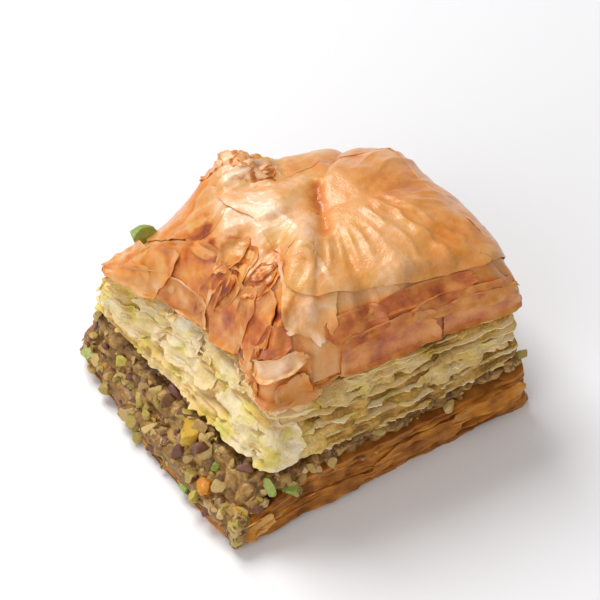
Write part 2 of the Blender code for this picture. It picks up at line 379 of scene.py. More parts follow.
def stacked_side(rows, seed, bundles, sheets):
    """Rows pushed in and out into bundles of torn sheets, and each point's tone."""
    push, tone = torn_sheets(rows, seed=seed, **sheets)
    more, shade = torn_sheets(rows, seed=seed + 20, **bundles)
    grit = 0.07 * rough(rows * 1.8, 3, seed + 9)
    loose = np.clip(0.6 + 1.6 * noise(rows / (5, 5, 2.5), seed + 5), 0.15, 1.3)  # least where it's pressed
    push = push * loose + more + grit
    return rows + outward(rows) * push[..., None], 0.4 * tone + 0.6 * shade


def side_heap(rows, tone):
    """A heap with a closed side, and a ring inside its first row and its last."""
    middle = rows.mean(axis=(0, 1)) * (1, 1, 0)
    low, high = ((row - middle) * (CAP_INSET, CAP_INSET, 1) + middle for row in (rows[:1], rows[-1:]))
    heap = Heap()
    heap.tube(np.concatenate((low, rows, high)), np.concatenate((tone[:1], tone, tone[-1:])))
    return heap


def add_strip(heap, rows, share, thickness, out, tone, seed, depth=1.2, teeth=0.0, slant=0.5):
    """One sheet that sticks out of a side here and there: a closed ring that runs all the way round.

    share is its height in the side, out how far its edge stands proud, and depth how far it reaches in.
    """
    level = rows[int(share * (len(rows) - 1))]
    away = outward(level[None])[0]
    lift = 0.35 * noise(level * (0.16, 0.16, 0.3), seed)
    torn = rough(edge_place(level, 0.4, seed * 3.1), 5, seed)
    shown = noise(edge_place(level, 0.1, seed * 1.9), seed + 1)
    tooth = 1.6 * rough(edge_place(level, 0.8, seed * 2.3), 3, seed + 2)
    reach = np.clip(out * (0.1 + 1.7 * shown + 0.9 * torn) + teeth * tooth, -0.8, 2.2 * out + teeth)
    tilt = slant * reach * noise(edge_place(level, 0.13, seed * 4.7), seed + 5)
    strip = []
    for along, across in ((-depth, -0.5), (0, -0.5), (1, -0.42), (1, 0.42), (0, 0.5), (-depth, 0.5)):
        push = reach * max(along, 0) + min(along, 0)
        point = level + away * push[:, None]
        point[:, 2] += lift + thickness * across + tilt * max(along, 0)
        strip.append(point)
    faces = tube_faces(len(strip), len(level), ring=True)
    heap.add(np.concatenate(strip), [faces], np.tile(np.clip(tone + 0.3 * torn, 0, 1), len(strip)))


def add_flake(heap, read, centre, size, turn, lift, curl, tone, seed, ragged=0.22, rings=14, around=130,
              thickness=0.14, depth=1.2, own=0.12, square=3.0, fade=0.0, mottle=0.12):
    """A torn piece of sheet that lies on a surface, whose places (a, b) are read by the function read.

    centre and size are its middle and half sizes in (a, b), turn is in degrees, lift is its height over the
    surface, curl how much higher its edge is bent up, depth how far its hidden middle goes down, own its own
    crumple, fade how much browner its edge is and mottle how patchy it is.
    """
    angle = np.linspace(0, 2 * math.pi, around, endpoint=False)
    loop = np.stack((np.cos(angle), np.sin(angle)), -1)
    corner = (np.abs(loop) ** square).sum(axis=1) ** (-1 / square)
    outline = corner * (1 + ragged * rough(edge_place(loop, 1.3, seed * 5.3), 5, seed))
    share = np.linspace(0.04, 1, rings) ** 0.8
    c, s = math.cos(math.radians(turn)), math.sin(math.radians(turn))
    local = share[:, None, None] * (outline[:, None] * loop @ np.array(((c, s), (-s, c))) * size)
    a, b = centre[0] + local[..., 0], centre[1] + local[..., 1]
    points, normals = read(a, b)
    bent = ramp(0.7, 1.0, share)[:, None] ** 1.5
    bend = 0.55 + 0.9 * noise(edge_place(local / np.max(size), 2.5, seed * 1.7), seed + 1)
    raised = lift + curl * bent * np.clip(bend, -0.15, 2) + own * creases(points, 2.4, seed + 2, 4)
    raised = np.maximum(raised, 0.05)[..., None]
    kept = [rings // 2, rings - 5, rings - 3, rings - 2, rings - 1]  # few rings do for its hidden underside
    thick = np.array((depth, *[thickness] * 4))[:, None, None]
    under = points[kept] + normals[kept] * (raised[kept] - thick)
    sheet = np.concatenate((under, (points + normals * raised)[::-1]))
    browning_and_shade = np.clip(tone + fade * share[:, None] + mottle * rough(points / 2.2, 3, seed + 4), 0, 1)
    heap.tube(sheet, np.concatenate((browning_and_shade[kept], browning_and_shade[::-1])))


def lay(heap, read, table, seed, **more):
    """Lays the flakes of a table, whose rows are middle and half sizes, turn, lift, curl and tone."""
    for k, (a, b, wide, long, *others) in enumerate(table):
        add_flake(heap, read, (a, b), (wide, long), *others, seed + 10 * k, **more)


# --- the bottom pastry ---

BOTTOM_BUNDLES = dict(pitch=2.2, ragged=0.34, groove=0.12, gap=0.5)
BOTTOM_SHEETS = dict(pitch=0.5, ragged=0.08, groove=0.1, gap=0.4)
BOTTOM_STRIPS = 5
AMBER_RADIUS = 5  # how far round the front left corner the sheets are lighter and more amber
# Loose ends of sheets: place round the side (0 to 4) and up it, half sizes, turn, lift, curl and tone
BOTTOM_FLAPS = (
    (0.86, 0.74, 0.12, 0.18, 0, 0.25, 0.9, 0.75), (0.62, 0.5, 0.16, 0.25, 0, 0.2, 0.6, 0.6),
    (0.25, 0.3, 0.2, 0.2, 0, 0.15, 0.5, 0.5), (1.42, 0.66, 0.3, 0.08, 3, 0.15, 0.5, 0.6),
    (1.75, 0.34, 0.2, 0.07, -4, 0.15, 0.5, 0.5), (2.3, 0.68, 0.32, 0.08, -3, 0.15, 0.5, 0.6),
    (2.72, 0.36, 0.22, 0.07, 4, 0.15, 0.5, 0.55), (0.04, 0.6, 0.08, 0.35, 0, 0.3, 0.5, 0.9),
)


def bottom_pastry(material):
    """Brown sheets, glazed with syrup, pressed together and torn at the cut."""
    solid = Solid("bottom_pastry")
    rim = solid.ring(solid.low[2] + 1.5) * 0.97
    rows = side_of(solid, 0.02, solid.top(rim) - 0.05)
    side, tone = stacked_side(rows, 11, BOTTOM_BUNDLES, BOTTOM_SHEETS)
    amber = bell((rows[..., :2] - solid.low[:2]) / AMBER_RADIUS).prod(axis=-1)
    tone = np.clip(tone + 0.35 * amber, 0, 1)
    heap = side_heap(side, tone)
    for k in range(BOTTOM_STRIPS):
        add_strip(heap, rows, share=(k + 0.8) / (BOTTOM_STRIPS + 0.7), thickness=0.3, out=0.35,
                  tone=0.4 + 0.15 * (k % 3), seed=40 + k)
    read = Skin(side, outward(rows)).side
    lay(heap, read, BOTTOM_FLAPS, 50, ragged=0.15, own=0.06, mottle=0.2)
    return heap.piece("bottom_sheets", material, "bottom_pastry", replaced=True)


# --- the filling ---

LUMP_SIZE, LUMP_DEPTH = 1.7, 1.0  # of the nuts pressed into the core
HOLLOW_DEPTH = 0.9  # the core falls back just under the pale sheets, where it is also painted darker as shade
GRAINS = 1750
SMALL, LARGE = 0.45, 1.5  # radii of the grains
SKINNED = 0.4  # the share of them with brown skin
SPILLED_GRAINS = 260  # on the left side of the bottom pastry
# Paste there: place round the side, half width
SPILLS = ((3.2, 0.22), (3.5, 0.2), (3.78, 0.2), (3.94, 0.1))


def chopped(pick, radius, cuts):
    """A chopped bit of nut: a ball cut flat by a few planes, and which of its points the cuts made."""
    ball = bmesh.new()
    bmesh.ops.create_icosphere(ball, subdivisions=3 if radius > 1.4 else 2, radius=1)
    points = np.array([v.co for v in ball.verts])
    faces = np.array([[v.index for v in f.verts] for f in ball.faces])
    ball.free()
    cut = np.zeros(len(points))
    for _ in range(cuts):
        way = pick.normal(size=3)
        way /= np.linalg.norm(way)
        over = np.clip(points @ way - pick.uniform(0.3, 0.75), 0, None)
        points = points - over[:, None] * way
        cut = np.maximum(cut, over > 0.02)
    points = points * pick.uniform(0.6, 1.3, 3)
    points = points * (1 + 0.14 * noise(points * 2.2 + pick.uniform(0, 50), 5))[:, None]
    turn = np.linalg.qr(pick.normal(size=(3, 3)))[0]
    turn[:, 0] *= np.sign(np.linalg.det(turn))
    return points @ turn.T * radius, faces, cut


def add_grain(heap, pick, place, radius, tone, cuts=7, squash=(1, 1, 1)):
    """A grain. Some grains keep their brown skin where they aren't cut."""
    points, faces, cut = chopped(pick, radius, cuts)
    if pick.random() < SKINNED:
        tone = np.where(cut > 0, tone, 0.06)
    heap.add(points * squash + place, [faces], tone)


def grain_tone(pick):
    """Most grains are olive or tan, some brown, and a few bright green, yellow or amber."""
    kind = pick.choice(6, p=(0.12, 0.2, 0.34, 0.18, 0.1, 0.06))
    return (kind + pick.uniform(0.1, 0.9)) / 6


def scatter(nuts, pick, rows, count, out, browning_and_shade=0.0):
    """Grains strewn evenly over rows of a side, each sunk in a little, and darker towards its top: painted
    shade under the pale sheets.
    """
    along, up = np.roll(rows, -1, 1) - rows, np.diff(rows, axis=0)
    area = np.linalg.norm(along, axis=-1)[:-1] * np.linalg.norm(up, axis=-1)
    for spot in pick.choice(area.size, count, p=area.ravel() / area.sum()):
        i, j = divmod(spot, area.shape[1])
        radius = SMALL + (LARGE - SMALL) * pick.random() ** 2
        place = rows[i, j] + out[i, j] * radius * pick.uniform(-0.2, 0.45)
        place[2] = np.clip(place[2], rows[0, j, 2] + 0.3 * radius, rows[-1, j, 2] - 0.25 * radius)
        # painted shade: grains near the top, under the pale sheets, are darker
        tone = grain_tone(pick) * (1 - browning_and_shade * ramp(0.6, 1.0, i / len(rows)))
        add_grain(nuts, pick, place, radius, tone)


def pistachio_filling(core_material, nut_material):
    """Chopped kernels in syrup: a lumpy core with separate grains all over its cut sides."""
    solid, below = Solid("pistachio_filling"), Solid("bottom_pastry")
    over = below.top(solid.ring(solid.low[2] + 0.4) * 0.985)
    low = np.where(np.isnan(over), solid.low[2], over) + 0.2
    rows = side_of(solid, low, solid.high[2] + 0.3)
    out = facing(rows)
    spot, number = pebbles((rows + 0.4 * noise(rows / 1.2, 20)[..., None]) / LUMP_SIZE, 22)
    upper = ramp(0.7, 1.0, np.linspace(0, 1, len(rows)))[:, None]
    push = 0.7 * rough(rows / 2.4, 3, 21) - LUMP_DEPTH * spot - HOLLOW_DEPTH * upper
    side = rows + out * push[..., None]
    # painted shade: darker between the lumps, where the core is pushed in, and in the hollow under the pale
    # sheets
    tone = np.clip(0.34 + 0.6 * number - 0.5 * ramp(0.5, 0.8, spot) - 0.5 * upper, 0, 1)
    heap = side_heap(side, tone)
    base = side_of(below, 0.8, solid.low[2] + 0.2)
    read = Skin(base, facing(base)).side
    for k, (along, half) in enumerate(SPILLS):
        add_flake(heap, read, (along, 0.62), (half, 0.36), 0, 0.25, -0.1, 0.5, 150 + 3 * k, ragged=0.25,
                  thickness=0.6, own=0.25, rings=18, around=200)
    core = heap.piece("filling_core", core_material, "pistachio_filling", replaced=True)
    pick = np.random.default_rng(12)
    nuts = Heap()
    scatter(nuts, pick, side, GRAINS, out, browning_and_shade=0.7)
    left = slice(3 * AROUND // 4, AROUND)
    scatter(nuts, pick, base[:, left], SPILLED_GRAINS, facing(base)[:, left])
    return core, nuts.piece("filling_grains", nut_material, "pistachio_filling", sharp=30)


# --- the pale layers ---

PALE_BUNDLES = dict(pitch=2.6, ragged=0.6, groove=0.25, gap=1.4)
PALE_SHEETS = dict(pitch=0.5, ragged=0.12, groove=0.1, gap=0.4)
PALE_STRIPS = 6
# Peeled ends of pale sheets, given like the flaps above
PALE_FLAPS = (
    (3.3, 0.7, 0.2, 0.2, 0, 0.35, 1.0, 0.95), (3.14, 0.9, 0.14, 0.12, 0, 0.6, 0.8, 0.4),
    (3.5, 0.5, 0.18, 0.2, 5, 0.3, 0.8, 0.8), (3.72, 0.74, 0.16, 0.16, 4, 0.25, 0.7, 0.6),
    (3.15, 0.4, 0.14, 0.2, 0, 0.3, 0.8, 0.85), (3.9, 0.3, 0.16, 0.3, 0, 0.25, 0.6, 0.95),
    (0.12, 0.3, 0.12, 0.3, 0, 0.25, 0.6, 0.9), (0.5, 0.72, 0.2, 0.14, 6, 0.2, 0.6, 0.5),
    (0.8, 0.4, 0.16, 0.14, 8, 0.2, 0.6, 0.4), (1.5, 0.5, 0.18, 0.2, 6, 0.25, 0.7, 0.6),
    (2.4, 0.6, 0.18, 0.2, 6, 0.25, 0.7, 0.7), (2.8, 0.4, 0.16, 0.2, 6, 0.25, 0.7, 0.7),
)
PORE_SIZE, PORE_DEPTH = (2.8, 2.8, 1.0), 1.4  # openings between its sheets, painted darker inside as shade


def pale_layers(material, under):
    """The unbrowned sheets between the nuts and the crust, and the side they are cut to."""
    solid = Solid("top_pastry")
    rows = side_of(solid, solid.low[2] + 0.02, under + 0.1)
    side, tone = stacked_side(rows, 61, PALE_BUNDLES, PALE_SHEETS)
    spot, number = pebbles((rows + 0.5 * noise(rows / 1.5, 70)[..., None]) / PORE_SIZE, 71)
    pore = ramp(0.62, 0.72, number) * ramp(0.55, 0.25, spot)
    side = side - outward(rows) * (PORE_DEPTH * pore)[..., None]
    x, y, z = np.moveaxis(rows, -1, 0)
    painted_front_shade = ramp(-14, 3, x - 0.6 * y) * ramp(4, -4, y)  # painted shade: the front, towards the right, is darker where it faces away from the lights
    # painted light: the front left tip and the top of the left side are lighter, where the left light falls
    painted_tip_light = 1.6 * bell(np.hypot(x + 14, y + 17) / 6) + 0.6 * ramp(-8, -16, x) * ramp(13, 18, z)
    tone = np.clip(tone - 0.5 * pore - 0.75 * painted_front_shade + 0.4 * painted_tip_light, -0.5, 1)
    heap = side_heap(side, tone)
    for k in range(PALE_STRIPS):
        add_strip(heap, rows, share=(k + 0.15) / PALE_STRIPS, thickness=0.24, out=0.5,
                  teeth=0.5 if k < 3 else 0.15, tone=0.45 + 0.1 * (k * 7 % 5), seed=80 + k)
    read = Skin(side, outward(rows)).side
    lay(heap, read, PALE_FLAPS, 110, ragged=0.24, own=0.1, mottle=0.2)
    return heap.piece("pale_sheets", material, "top_pastry", replaced=True)


# --- the browned crust ---

APEX = (4.5, 0.5)  # where the crust's folds meet
PLEATS = 26
LUMPS_PLACE, LUMPS_RADIUS, LUMPS_RISE = (-0.1, 0.63), 0.19, 0.6  # crumbled sheets near the back edge
RISE_PLACE, RISE_RADIUS, RISE_HEIGHT = (0.42, 0.66), 0.3, 1.2  # a low rise to the right of them
FAN_MIDDLE, FAN_RADII = (0.13, -0.55), (0.34, 0.62)  # the lighter part of the top sheet
PAINTED_HIGHLIGHT_PLACE, PAINTED_HIGHLIGHT_RADIUS = (-0.32, 0.06), 0.36  # a painted highlight: the folds left of the apex are made lightest
# Single creases of the top sheets: start, end, width, height; a negative one is a valley
CREASES = (
    ((5.0, 3.6), (1.8, -3.3), 0.9, -0.75), ((4.0, 5.5), (-5.5, 1.5), 1.5, 0.5),
    ((-1.0, -3.0), (-6.5, -11.5), 1.3, 0.7), ((-5.5, 1.5), (-10.5, -3.5), 1.3, 0.6),
    ((-4.0, -1.0), (-9.0, -9.0), 0.9, -0.5), ((-4.5, 11.0), (-9.5, 3.5), 1.2, 0.5),
    ((-7.5, 11.5), (-13.5, 12.5), 1.0, -0.5), ((8.0, -3.0), (10.5, -14.0), 0.5, 0.35),
    ((10.0, -3.0), (14.0, -14.5), 0.5, 0.4), ((11.5, -2.0), (17.0, -13.5), 0.5, 0.3),
)
RIM_SHEETS = dict(pitch=0.26, ragged=0.5, groove=0.14, gap=0.4)
RIM_STRIPS = 4


def from_segment(points, start, end):
    """Distances of points (..., 2) from a segment."""
    start, end = np.array(start), np.array(end)
    way = end - start
    share = np.clip(((points - start) @ way) / (way @ way), 0, 1)
    return np.linalg.norm(points - start - share[..., None] * way, axis=-1)


class Dome:
    """The crust's surface as a grid: rings from the rim (row 0) to the middle, columns round the edge."""

    def __init__(self, under, outline):
        edge = square_edge(AROUND)
        both = at_side(np.concatenate((outline, under[:, None]), axis=1))
        self.outline, self.under = both[:, :2], both[:, 2]
        rim = self.under + RIM_THICKNESS
        reach = 1 - np.linspace(0, DOME_REACH, DOME_ROWS) ** RIM_CROWDING
        self.reach = reach[:, None]
        self.u, self.v = self.reach * edge[:, 0], self.reach * edge[:, 1]
        self.middle = self.outline.mean(axis=0)
        flat = self.middle + self.reach[..., None] * (self.outline - self.middle)
        self.base = np.concatenate((flat, self.height(rim)[..., None]), axis=-1)
        normals = facing(self.base)
        self.wander = 0.06 * noise(self.base / 4, 3)
        self.left = ramp(-0.38, -0.6, self.u + 2 * self.wander) * ramp(0.75, 0.35, self.v + self.wander)
        self.calm = 1 - 0.8 * ramp(0.35, 0.5, self.v + self.wander)  # less folded at the back
        self.lumpy = self.near(LUMPS_PLACE, LUMPS_RADIUS)
        pleats, streaks = self.radial()
        marks = self.marks()
        relief = self.relief(pleats, marks)
        self.tone = self.toast_and_painted_light(relief, streaks, marks[0])
        self.points = self.base + normals * relief[..., None]
        self.skin = Skin(self.points, normals)

    def height(self, rim):
        """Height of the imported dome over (u, v), where its rim has the height rim."""
        def shoulder(c, low_side, high_side):
            power = np.where(c < 0, DOME_FALL[low_side], DOME_FALL[high_side])
            return np.clip(1 - np.abs(c) ** DOME_SQUARENESS, 0, 1) ** power

        u, v, side = self.u, self.v, np.arange(AROUND) * 4 / AROUND
        top = Solid("top_pastry").high[2]
        rise = shoulder(u, "left", "right") * shoulder(v, "front", "back")
        rise = rise * (1 - CORNER_LOSS * ((1 + u) * (1 + v) / 4) ** 2)
        carved = sum(depth * bell(((side - place + 2) % 4 - 2) / width) for place, width, depth in FOLDS)
        on_front = ramp(*STEP_START, side) * (1 - ramp(*STEP_END, side))
        carved = carved * self.reach ** 1.5 + STEP_DEPTH * on_front * ramp(*STEP_RINGS, self.reach)
        hip = HIP_HEIGHT * bell((u - v - HIP_OFFSET) / HIP_WIDTH) * ramp(*HIP_START, -(u + v) / 2)
        ridge = RIDGE_HEIGHT * self.near(RIDGE_PLACE, RIDGE_RADIUS)
        lumps = KNOB_HEIGHT * self.near(KNOB_PLACE, KNOB_RADIUS) + ridge
        return rim + (top - rim) * rise + lumps + (hip - carved) * (1 - self.reach ** RIM_FADE)

    def near(self, place, radius):
        """1 at a place (u, v), falling off round it."""
        return bell(np.hypot(self.u - place[0], self.v - place[1]) / radius)

    def radial(self):
        """Relief of the folds that run out from the apex, and the streaks along them."""
        p = self.base
        away = p[..., :2] - APEX
        far = np.linalg.norm(away, axis=-1)
        turn = np.arctan2(away[..., 1], away[..., 0]) * PLEATS / (2 * math.pi)
        pleat = (2 * np.abs((turn + 1.1 * noise(p / 9, 161)) % 1 - 0.5)) ** 2.5 - 0.3
        shown = ramp(3, 9, far) * np.clip(0.45 + 1.3 * noise(p / 6, 163), 0, 1) * self.calm
        streaks = rough(np.stack((4 * turn, far / 5, 0 * far), -1), 2, 185)
        return 0.4 * pleat * shown, streaks * ramp(3, 8, far)

    def marks(self):
        """Relief of each of the single creases."""
        strayed = self.base[..., :2] + 0.7 * noise(self.base / 2, 164)[..., None]
        return [high * bell(from_segment(strayed, start, end) / wide) for start, end, wide, high in CREASES]

    def relief(self, pleats, marks):
        """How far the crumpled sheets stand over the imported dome, which they meet at the rim."""
        p = self.base
        right = ramp(0.7, 0.9, self.u + self.wander)
        restless = np.clip(0.15 + 0.85 * self.left + 1.3 * self.lumpy + 0.4 * right, 0, 1.4)
        lumps = creases(p, 2.6, 165, 6) + 0.45 * creases(p, 1.3, 166, 4)
        relief = (0.65 * creases(p, 11, 101, 4) + 0.22 * creases(p, 6, 107, 4)) * self.calm
        relief = relief + pleats + sum(marks) + RISE_HEIGHT * self.near(RISE_PLACE, RISE_RADIUS)
        relief = relief + 0.3 * restless * creases(p, 3.6, 131)
        relief = relief + 0.08 * (0.3 + restless) * creases(p, 1.4, 151)
        relief = np.minimum(relief, 1.2) + (LUMPS_RISE + 0.9 * lumps) * self.lumpy
        return relief * (1 - self.reach ** 14)

    def toast_and_painted_light(self, relief, streaks, valley):
        """How dark the sheets are, 0 to 1: most along the front, toasted and painted darker as shade, and in
        toasted spots on the left.
        """
        u, v, p, wander = self.u, self.v, self.base, self.wander
        # toasting and painted shade: the steep front band, turned away from the key light, is darker
        front = ramp(-0.77, -0.86, v + 0.14 * u + wander) * ramp(-0.35, -0.1, u + wander)
        fan = np.hypot((u - FAN_MIDDLE[0]) / FAN_RADII[0], (v - FAN_MIDDLE[1]) / FAN_RADII[1]) + wander
        orange = ramp(0.85, 1.1, fan) * ramp(-0.25, 0.1, u + 0.6 * v)
        spots = ramp(-0.1, 0.3, rough(p / 3.2, 4, 171))
        tone = 0.34 + 0.29 * front + 0.1 * orange + self.left * (0.12 + 0.48 * spots) - 0.36 * self.lumpy
        # painted highlight left of the apex, painted shade in the first crease's valley, and painted light
        # on the crests and shade in the hollows of the relief
        tone = tone - 0.22 * self.near(PAINTED_HIGHLIGHT_PLACE, PAINTED_HIGHLIGHT_RADIUS) - 0.26 * valley - 0.1 * relief
        return np.clip(tone + 0.1 * rough(p / 7, 3, 181) + 0.09 * streaks, 0, 1)

    def tone_near(self, points):
        """The crust's tone under points (N, 3)."""
        flat = (self.base[..., :2] - self.middle).reshape(-1, 2)
        tree = KDTree(len(flat))
        for i, (x, y) in enumerate(flat):
            tree.insert((x, y, 0), i)
        tree.balance()
        tones = self.tone.ravel()
        return np.array([tones[tree.find((x, y, 0))[1]] for x, y in points[:, :2] - self.middle])

    def read(self, u, v, spread=0.5, drop=14):
        """The surface's points and normals over (u, v). Past the rim they go on outwards and down."""
        reach = np.maximum(np.maximum(np.abs(u), np.abs(v)), 1e-6)
        row = np.clip(1 - reach, 0, 1) ** (1 / RIM_CROWDING) / DOME_REACH * (DOME_ROWS - 1)
        a, b = u / reach, v / reach
        near = 1 - 1e-9
        side = np.where(b <= -near, (a + 1) / 2, np.where(
            a >= near, 1 + (b + 1) / 2, np.where(b >= near, 2 + (1 - a) / 2, 3 + (1 - b) / 2)))
        points, normals = self.skin.read(row, side / 4 * AROUND)
        away = (points - np.append(self.middle, 0)) * (spread, spread, 0) - (0, 0, drop)
        return points + away * np.clip(reach - 1, 0, None)[..., None], normals

    def read_flat(self, u, v):
        """As read, but past the rim nearly level."""
        return self.read(u, v, spread=1.2, drop=3)


def crust_body(dome, material):
    """The browned sheets that make the dome, with their torn edges round the rim."""
    f = np.linspace(0, 1, RIM_ROWS)[:, None, None]
    low = np.concatenate((dome.outline, dome.under[:, None] - 0.1), axis=1)
    band = low + f * (dome.points[0] - low)
    push, band_tone = torn_sheets(band, seed=201, **RIM_SHEETS)
    band = band + outward(band) * (push * (1 - f[..., 0] ** 4))[..., None]
    middle = np.append(dome.middle, 0.05)
    inner = [(low - middle) * (s, s, 1) + middle + (0, 0, 0.05) for s in (0.86, 0.94)]
    rows = np.concatenate((np.stack(inner), band, dome.points[1:]))
    heap = Heap()
    heap.tube(rows, np.concatenate((band_tone[:2], band_tone, dome.tone[1:])))
    for k in range(RIM_STRIPS):
        add_strip(heap, band, share=0.1 + 0.25 * k, thickness=0.12, out=0.4, teeth=0.15, depth=0.8,
                  tone=0.3 + 0.1 * k, seed=210 + k, slant=0.8)
    return heap.piece("crust", material, "top_pastry", replaced=True)


# Torn sheets on the crust: middle and half sizes in (u, v), turn in degrees, lift, curl and tone, which for
# the large smooth sheets is added to the tone of the crust below. The first one breaks off above the front.
LARGE_SHEETS = (
    (0.32, -0.1, 0.76, 0.7, -8, 0.3, 0.35, 0.0), (0.1, 0.66, 0.8, 0.28, -3, 0.2, 0.3, 0.06),
    # this one is lighter, part of the painted highlight left of the apex
    (-0.5, 0.12, 0.26, 0.5, 8, 0.25, 0.3, -0.08),
)
TORN_SHEETS = (
    (-0.36, -0.62, 0.22, 0.3, -18, 0.25, 0.3, 0.4), (0.88, 0.0, 0.1, 0.6, 0, 0.2, 0.4, 0.5),
    (0.6, -0.95, 0.36, 0.035, -5, 0.3, 0.6, 0.6), (0.35, -0.88, 0.34, 0.05, -7, 0.15, 0.4, 0.7),
    (-0.08, -0.9, 0.22, 0.07, 3, 0.2, 0.4, 0.72), (0.1, -0.99, 0.34, 0.05, 0, 0.15, 0.5, 0.64),
    (0.72, -0.99, 0.26, 0.04, 0, 0.15, 0.5, 0.6), (-0.86, 0.42, 0.15, 0.4, 4, 0.25, 0.5, 0.58),
    (-0.9, 0.8, 0.16, 0.24, -8, 0.4, 0.6, 0.5), (-0.99, 0.5, 0.07, 0.5, 1, 0.2, 0.5, 0.46),
    (-0.9, -0.3, 0.16, 0.3, 5, 0.25, 0.5, 0.62), (-0.82, -0.62, 0.16, 0.24, -14, 0.2, 0.4, 0.6),
    (-0.76, -0.02, 0.18, 0.2, 10, 0.2, 0.4, 0.6), (-0.66, -0.4, 0.13, 0.14, 20, 0.2, 0.4, 0.62),
)
# Lips of sheets that stick out at the rim's front left corner; the last two, the palest, are a painted
# highlight on the curl
LIPS = (
    (-0.74, -0.84, 0.22, 0.07, -14, 0.3, 0.3, 0.68), (-0.72, -0.98, 0.27, 0.08, -4, 0.3, 0.4, 0.44),
    (-0.94, -0.88, 0.08, 0.13, -20, 0.4, 0.5, 0.4), (-0.6, -1.03, 0.2, 0.05, 3, 0.45, 0.5, 0.34),
    (-0.73, -0.935, 0.25, 0.035, -15, 0.7, 0.7, 0.16), (-0.6, -1.0, 0.15, 0.025, -4, 0.75, 0.6, 0.28),
)
SLOPE_FLAKES = 5  # on the steep left slope
LUMP_FLAKES = 7  # on the crumbled sheets


def large_sheets(dome, material):
    """The large smooth sheets, toasted like the crust below them."""
    heap = Heap()
    for k, (*sheet, change) in enumerate(LARGE_SHEETS):
        lay(heap, dome.read, [(*sheet, 0)], 300 + 10 * k, ragged=0.07, depth=2.4, own=0.03, rings=46,
            around=290, square=6)
        heap.tones[-1] = np.clip(heap.tones[-1] + change + dome.tone_near(heap.points[-1]), 0, 1)
    return heap.piece("large_sheets", material, "top_pastry")


def crust_flakes(dome, material):
    """The torn sheets and flakes that lie on the dome."""
    heap = Heap()
    lay(heap, dome.read, TORN_SHEETS, 340, ragged=0.18, rings=17, around=146, fade=-0.1, mottle=0.28)
    lay(heap, dome.read_flat, LIPS, 500, ragged=0.26, fade=0.12, mottle=0.2, square=2.1)
    pick = np.random.default_rng(9)
    for k in range(SLOPE_FLAKES):
        place, extent = pick.uniform((-0.9, -0.6), (-0.65, 0.2)), pick.uniform(0.08, 0.15, 2)
        add_flake(heap, dome.read, place, extent, pick.uniform(-30, 40), 0.25 + 0.05 * k, 0.3,
                  pick.uniform(0.35, 0.75), 400 + 11 * k, mottle=0.3)
    for k in range(LUMP_FLAKES):
        place = LUMPS_PLACE + pick.uniform(-0.15, 0.13, 2)
        add_flake(heap, dome.read, place, pick.uniform(0.05, 0.11, 2), pick.uniform(0, 180), 0.1 + 0.04 * k,
                  0.4, pick.uniform(0.25, 0.6), 700 + 13 * k, ragged=0.3, rings=12, around=90)
    return heap.piece("crust_flakes", material, "top_pastry")


# --- loose pistachio bits ---

OVER_ALL = 60  # a height above all the pieces
# x, y, height above what is below, radius and tone
BITS = (
    (-14.5, 17.0, 0.9, 2.5, 0.8), (-22.4, 17.8, 0.4, 1.2, 0.62), (-20.9, -5.3, 0.3, 2.3, 0.9),
    (-22.4, -12.3, 0.3, 2.1, 1.0), (-21.6, -8.6, 0.4, 1.5, 0.02), (-13.9, -19.9, 0.2, 1.5, 0.8),
)
BIT_SQUASH = (1.2, 0.8, 0.75)


def loose_bits(material, pieces):
    """The larger bits that lie on the crust's edge and on the slope of nuts."""
    heap = Heap()
    pick = np.random.default_rng(17)
    graph = bpy.context.evaluated_depsgraph_get()
    for x, y, above, radius, tone in BITS:
        start = Vector((x * MM, y * MM, OVER_ALL * MM))
        hits = [piece.evaluated_get(graph).ray_cast(start, DOWN) for piece in pieces]
        top = max(spot.z for hit, spot, *_ in hits if hit) / MM
        add_grain(heap, pick, np.array((x, y, top + above)), radius, tone, cuts=5, squash=BIT_SQUASH)
    return heap.piece("pistachio_bits", material, "pistachio_filling", sharp=30)


# --- materials ---

def linear(red, green, blue):
    """An sRGB colour of 0 to 255 as the linear colour that shaders take."""
    shares = (red / 255, green / 255, blue / 255)
    return tuple((c / 12.92 if c < 0.0405 else ((c + 0.055) / 1.055) ** 2.4) for c in shares)


